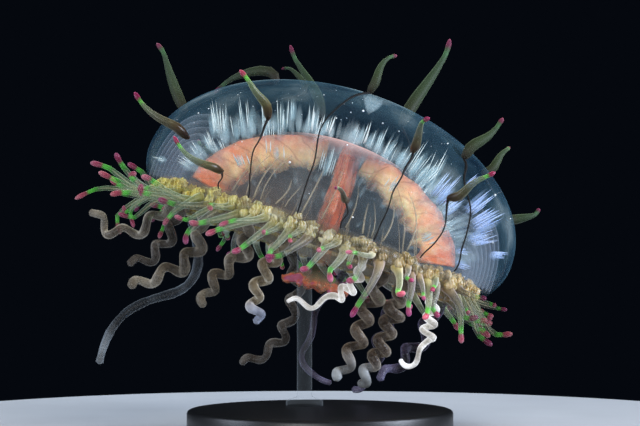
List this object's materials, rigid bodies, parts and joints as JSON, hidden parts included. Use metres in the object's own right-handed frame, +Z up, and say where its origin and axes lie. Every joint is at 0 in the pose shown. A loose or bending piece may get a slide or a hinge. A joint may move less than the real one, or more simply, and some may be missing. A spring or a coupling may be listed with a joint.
{
  "type": "flower hat jelly",
  "caption": "Still, life-size flower hat jelly: a leaning clear bell with club tentacles, ruffled inner organs and coiled feelers, held by a rod on a round base.",
  "frame": {"origin": "centre of the display base's underside", "axes": "+Z up, -Y towards the viewer, +X to the viewer's right; the bell leans 19 degrees to +X and 4 degrees to +Y"},
  "size_m": [0.1438, 0.1337, 0.1251],
  "materials": {
    "bell_jelly": "clear wet jelly, faintly blue",
    "velum_skin": "thin grey translucent skin",
    "margin_band": "wet cream and ochre tissue",
    "gonad_tissue": "wet peach to red ruffled tissue",
    "stomach_wall": "wet olive tissue",
    "lip_frill": "wet crimson and magenta frill",
    "club_tentacle": "olive stalk, green band and pink tip",
    "coiled_tentacle": "taupe to cream translucent tissue",
    "stand_plinth": "satin black",
    "stand_acrylic": "polished clear acrylic"
  },
  "bodies": {
    "root": {"bell": "bell_jelly", "velum": "velum_skin", "margin_1": "margin_band", "margin_2": "margin_band", "margin_3": "margin_band", "margin_4": "margin_band", "margin_5": "margin_band", "margin_6": "margin_band", "margin_7": "margin_band", "margin_8": "margin_band", "gonad_1": "gonad_tissue", "gonad_2": "gonad_tissue", "gonad_3": "gonad_tissue", "gonad_4": "gonad_tissue", "stomach": "stomach_wall", "lips": "lip_frill", "club_1": "club_tentacle", "club_2": "club_tentacle", "club_3": "club_tentacle", "club_4": "club_tentacle", "club_5": "club_tentacle", "club_6": "club_tentacle", "club_7": "club_tentacle", "club_8": "club_tentacle", "club_9": "club_tentacle", "club_10": "club_tentacle", "club_11": "club_tentacle", "club_12": "club_tentacle", "club_13": "club_tentacle", "club_14": "club_tentacle", "club_15": "club_tentacle", "club_16": "club_tentacle", "club_17": "club_tentacle", "feeler_1_upper": "coiled_tentacle", "feeler_1_lower": "coiled_tentacle", "feeler_2_upper": "coiled_tentacle", "feeler_2_lower": "coiled_tentacle", "feeler_3_upper": "coiled_tentacle", "feeler_3_lower": "coiled_tentacle", "feeler_4_upper": "coiled_tentacle", "feeler_4_lower": "coiled_tentacle", "feeler_5": "coiled_tentacle", "feeler_6_upper": "coiled_tentacle", "feeler_6_lower": "coiled_tentacle", "feeler_7_upper": "coiled_tentacle", "feeler_7_lower": "coiled_tentacle", "feeler_8_upper": "coiled_tentacle", "feeler_8_lower": "coiled_tentacle", "feeler_9": "coiled_tentacle", "feeler_10_upper": "coiled_tentacle", "feeler_10_lower": "coiled_tentacle", "feeler_11_upper": "coiled_tentacle", "feeler_11_lower": "coiled_tentacle", "feeler_12_upper": "coiled_tentacle", "feeler_12_lower": "coiled_tentacle", "feeler_13": "coiled_tentacle", "feeler_14": "coiled_tentacle", "stand_base": "stand_plinth", "stand_rod": "stand_acrylic"}
  },
  "joints": []
}
